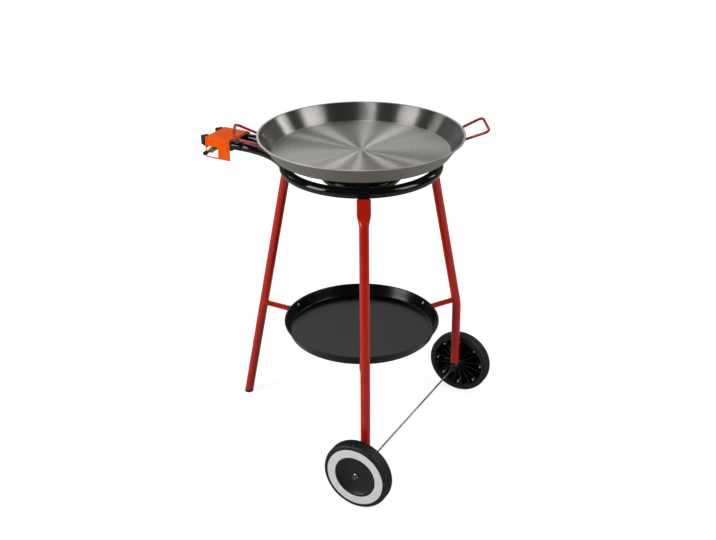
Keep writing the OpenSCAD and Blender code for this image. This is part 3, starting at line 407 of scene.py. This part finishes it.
def rib_tree():
    """Blocks around a circle, such as the ribs of a tread."""
    tree, given = start_tree("ribs_around", {"Count": "Int", "Radius": "Float", "Height": "Float",
                                             "Width": "Float", "Length": "Float", "Material": "Material"})
    circle = add(tree, "GeometryNodeMeshCircle", {"Vertices": given["Count"], "Radius": given["Radius"]})
    size = add(tree, "ShaderNodeCombineXYZ",
               {"X": given["Height"], "Y": given["Width"], "Z": given["Length"]})
    block = add(tree, "GeometryNodeMeshCube", {"Size": size.outputs[0]})
    step = add(tree, "ShaderNodeMath", {0: math.tau, 1: given["Count"]}, operation="DIVIDE")
    place = add(tree, "GeometryNodeInputIndex")
    turn = add(tree, "ShaderNodeMath", {0: place.outputs[0], 1: step.outputs[0]}, operation="MULTIPLY")
    euler = add(tree, "ShaderNodeCombineXYZ", {"Z": turn.outputs[0]})
    way = add(tree, "FunctionNodeEulerToRotation", {0: euler.outputs[0]})
    blocks = add(tree, "GeometryNodeInstanceOnPoints", {"Points": circle.outputs["Mesh"],
                 "Instance": block.outputs["Mesh"], "Rotation": way.outputs[0]})
    return end_tree(tree, blocks.outputs[0], given["Material"])


def peg_tree():
    """Round pegs around a circle, along its axis."""
    tree, given = start_tree("pegs_around", {"Count": "Int", "Radius": "Float", "Peg": "Float",
                                             "Length": "Float", "Material": "Material"})
    circle = add(tree, "GeometryNodeMeshCircle", {"Vertices": given["Count"], "Radius": given["Radius"]})
    peg = add(tree, "GeometryNodeMeshCylinder",
              {"Vertices": 24, "Radius": given["Peg"], "Depth": given["Length"]})
    pegs = add(tree, "GeometryNodeInstanceOnPoints", {"Points": circle.outputs["Mesh"],
               "Instance": peg.outputs["Mesh"]})
    return end_tree(tree, pegs.outputs[0], given["Material"])


def bead_tree():
    """Overlapping drops along a line, as a weld leaves them."""
    tree, given = start_tree("weld_bead", {"Step": "Float", "Drop": "Float", "Material": "Material"})
    line = add(tree, "GeometryNodeMeshToCurve", {"Mesh": given["Geometry"]})
    points = add(tree, "GeometryNodeResampleCurve", {"Curve": line.outputs[0], "Length": given["Step"]},
                 mode="LENGTH")
    drop = add(tree, "GeometryNodeMeshIcoSphere", {"Radius": given["Drop"], "Subdivisions": 2})
    soft = add(tree, "GeometryNodeSetShadeSmooth", {"Geometry": drop.outputs["Mesh"]})
    drops = add(tree, "GeometryNodeInstanceOnPoints",
                {"Points": points.outputs[0], "Instance": soft.outputs[0]})
    return end_tree(tree, drops.outputs[0], given["Material"])


RIBS, PEGS, BEADS = rib_tree(), peg_tree(), bead_tree()


def wheel_place(tyre, way, shift):
    """From a wheel's own frame, with its axis along z, to its place in the stand; shift goes along the way."""
    low, high = (Vector(corner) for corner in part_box(tyre))
    turn = way.to_track_quat("Z", "X").to_matrix().to_4x4()
    return Matrix.Translation((low + high) / 2 + way * shift) @ turn


def tread(tyre):
    """Ribs across a tyre: real ones are about 2 mm apart, these twice as coarse so that they show."""
    mesh = grow(tyre + "_tread", RIBS, bpy.data.meshes.new("tread_seed"),
                {"Count": 150, "Radius": 103.2 * MM, "Height": 1.4 * MM, "Width": 2 * MM, "Length": 25 * MM,
                 "Material": RUBBER})
    mesh.transform(wheel_place(tyre, AXLE, 0))
    new_piece(tyre + "_tread", mesh, [RUBBER], BODY[tyre])


def trim_pegs(wheel, outwards):
    """Ends of the trim ring's pins, which show as pale dots in the back of a wheel."""
    mesh = grow(wheel + "_trim_pegs", PEGS, bpy.data.meshes.new("peg_seed"),
                {"Count": 8, "Radius": 77.3 * MM, "Peg": 2.9 * MM, "Length": 22 * MM,
                 "Material": WHITE_PLASTIC})
    # Moved in a little, so that they end inside the ring and stand out of the hub's back
    mesh.transform(wheel_place(wheel + "_tyre", outwards * AXLE, -0.6 * MM))
    trim = wheel + "_trim_ring"
    new_piece(wheel + "_trim_pegs", mesh, [WHITE_PLASTIC], BODY[trim])


tread("front_tyre")
tread("right_tyre")
trim_pegs("front", -1)
trim_pegs("right", 1)

# Welds where the arms of the tray meet the legs, in millimetres: radius and height of an arm
ARM_R, ARM_Z = 8.5, 361.0
WELD_POINTS = 48


def arm_weld(name, azimuth):
    """Bead around a tray arm, on the face of its leg."""
    points = []
    for k in range(WELD_POINTS):
        turn = math.tau * k / WELD_POINTS
        y, z = ARM_R * math.cos(turn), ARM_Z + ARM_R * math.sin(turn)
        out = leg_r(z) - math.sqrt(LEG_D ** 2 / 4 - y ** 2) / math.cos(LEAN)
        points.append(Vector((out, y, z)) * MM)
    line = bpy.data.meshes.new(name + "_line")
    line.from_pydata(points, [(k, (k + 1) % WELD_POINTS) for k in range(WELD_POINTS)], [])
    mesh = grow(name, BEADS, line, {"Step": 2.2 * MM, "Drop": 1.7 * MM, "Material": RED_PAINT})
    mesh.transform(around(azimuth))
    new_piece(name, mesh, [RED_PAINT], "stand")


for side, azimuth in LEG_AZIMUTH.items():
    arm_weld(side + "_arm_weld", azimuth)

# Stage: pale floor and white surroundings, in metres

FLOOR_HALF, FLOOR_PAINT = 12.0, 0.4
# The floor's glow leaves room for the shadow near the object, and is white by itself further out
NEAR, FAR, NEAR_GLOW = 0.9, 2.4, 0.8
# Share of that glow that reflections show: the whole of it would turn the black enamel grey
MIRRORED_SHARE = 0.2
# Strength of the dim room around the object, and of the pale backdrop in it
ROOM, BACKDROP = 0.1, 1.1
# Soft edges of the backdrop, which stands behind the object, above the floor and a little to the left:
# axis of the direction, where the edge starts and ends on it, and the backdrop's share there
EDGES = (("Y", 0.1, 0.8, 0, 1), ("Z", 0.02, 0.3, 0, 1), ("X", -0.5, -0.25, 0.15, 1), ("X", -0.1, 0.22, 1, 0.15))


def stage_floor():
    """Pale floor that reads as white to the camera and still takes a soft shadow."""
    mesh = bpy.data.meshes.new("floor")
    corners = [(x * FLOOR_HALF, y * FLOOR_HALF, 0) for x, y in ((-1, -1), (1, -1), (1, 1), (-1, 1))]
    mesh.from_pydata(corners, [], [(0, 1, 2, 3)])
    floor = bpy.data.objects.new("floor", mesh)
    bpy.context.scene.collection.objects.link(floor)
    material = bpy.data.materials.new("pale_floor")
    material.use_nodes = True
    tree = material.node_tree
    tree.nodes.clear()
    coords = add(tree, "ShaderNodeTexCoord").outputs["Object"]
    away = add(tree, "ShaderNodeVectorMath", {0: coords}, operation="LENGTH").outputs["Value"]
    paper = add(tree, "ShaderNodeMapRange",
                {"Value": away, "From Min": NEAR, "From Max": FAR, "To Min": NEAR_GLOW})
    rays = add(tree, "ShaderNodeLightPath").outputs
    mirrored = add(tree, "ShaderNodeMath", {0: rays["Is Glossy Ray"], 1: rays["Is Transmission Ray"]},
                   operation="ADD")
    shown = add(tree, "ShaderNodeMath", {0: mirrored.outputs[0], 1: MIRRORED_SHARE, 2: rays["Is Camera Ray"]},
                operation="MULTIPLY_ADD")
    glow = add(tree, "ShaderNodeMath", {0: shown.outputs[0], 1: paper.outputs["Result"]}, operation="MULTIPLY")
    paint = add(tree, "ShaderNodeBsdfDiffuse", {"Color": (FLOOR_PAINT, FLOOR_PAINT, FLOOR_PAINT, 1)})
    shine = add(tree, "ShaderNodeEmission", {"Strength": glow.outputs[0]})
    both = add(tree, "ShaderNodeAddShader", {0: paint.outputs[0], 1: shine.outputs[0]})
    add(tree, "ShaderNodeOutputMaterial", {"Surface": both.outputs[0]})
    mesh.materials.append(material)


def studio_world():
    """White to the camera. Around the object a dim room, with a pale backdrop behind it that the metal shows."""
    world = bpy.data.worlds.new("studio")
    world.use_nodes = True
    tree = world.node_tree
    tree.nodes.clear()
    towards = add(tree, "ShaderNodeTexCoord").outputs["Generated"]
    way = add(tree, "ShaderNodeSeparateXYZ", {"Vector": towards}).outputs
    backdrop = 1.0
    for axis, start, end, low, high in EDGES:
        edge = add(tree, "ShaderNodeMapRange", {"Value": way[axis], "From Min": start, "From Max": end,
                   "To Min": low, "To Max": high}, interpolation_type="SMOOTHSTEP").outputs["Result"]
        backdrop = add(tree, "ShaderNodeMath", {0: edge, 1: backdrop}, operation="MULTIPLY").outputs[0]
    room = add(tree, "ShaderNodeMapRange", {"Value": backdrop, "To Min": ROOM, "To Max": BACKDROP})
    seen = add(tree, "ShaderNodeLightPath").outputs["Is Camera Ray"]
    strength = add(tree, "ShaderNodeMath", {0: room.outputs["Result"], 1: seen}, operation="MAXIMUM")
    glow = add(tree, "ShaderNodeBackground", {"Color": (1, 1, 1, 1), "Strength": strength.outputs[0]})
    add(tree, "ShaderNodeOutputWorld", {"Surface": glow.outputs[0]})
    bpy.context.scene.world = world


def softbox(name, place, target, width, height, watts):
    """Rectangular lamp at a place, turned to a target."""
    lamp = bpy.data.lights.new(name, "AREA")
    lamp.shape = "RECTANGLE"
    lamp.size, lamp.size_y, lamp.energy = width, height, watts
    holder = bpy.data.objects.new(name, lamp)
    holder.location = place
    holder.rotation_euler = (Vector(target) - Vector(place)).to_track_quat("-Z", "Y").to_euler()
    bpy.context.scene.collection.objects.link(holder)


# The photograph's camera, about 3 m away and 26 degrees above level: turns in degrees, place beside the stand's
# axis, and focal length and width of the picture in pixels
YAW, PITCH, ROLL = (math.radians(angle) for angle in (1.3227, 26.072, -0.266))
EYE = Vector((-81.47, -3061.5, 2057.62)) * MM
FOCAL_PX, WIDE_PX, SENSOR_MM = 1122.74, 716, 36


def photo_camera():
    """Camera at the photograph's place."""
    level = math.cos(PITCH)
    forward = Vector((math.sin(YAW) * level, math.cos(YAW) * level, -math.sin(PITCH)))
    side = Vector((math.cos(YAW), -math.sin(YAW), 0))
    up = side.cross(forward)
    right = math.cos(ROLL) * side + math.sin(ROLL) * up
    above = -math.sin(ROLL) * side + math.cos(ROLL) * up
    lens = bpy.data.cameras.new("photo_camera")
    lens.sensor_width = SENSOR_MM
    lens.sensor_fit = "HORIZONTAL"
    lens.lens = SENSOR_MM * FOCAL_PX / WIDE_PX
    camera = bpy.data.objects.new("photo_camera", lens)
    turn = Matrix((right, above, -forward)).transposed().to_4x4()
    camera.matrix_world = Matrix.Translation(AXIS + EYE) @ turn
    bpy.context.scene.collection.objects.link(camera)
    bpy.context.scene.camera = camera


stage_floor()
studio_world()
photo_camera()
# Broad boxes from the camera's side for the body of the light, narrow ones for streaks in the steel
softbox("left_side", (-3.2, -1.4, 2.0), (0, 0, 0.6), 1.6, 2.2, 105)
softbox("right_side", (3.2, -1.3, 2.8), (0, 0, 0.6), 1.8, 2.2, 80)
softbox("overhead", (-0.24, -0.4, 3.4), (0.03, 0.1, 0.9), 0.03, 1.2, 8)
softbox("right_back", (2.4, 1.3, 2.35), (0, 0.1, 0.9), 0.2, 1.2, 12)
softbox("left_back", (-2.35, 1.3, 2.35), (0, 0.1, 0.9), 0.2, 1.2, 4)
bpy.context.scene.view_settings.view_transform = "Standard"
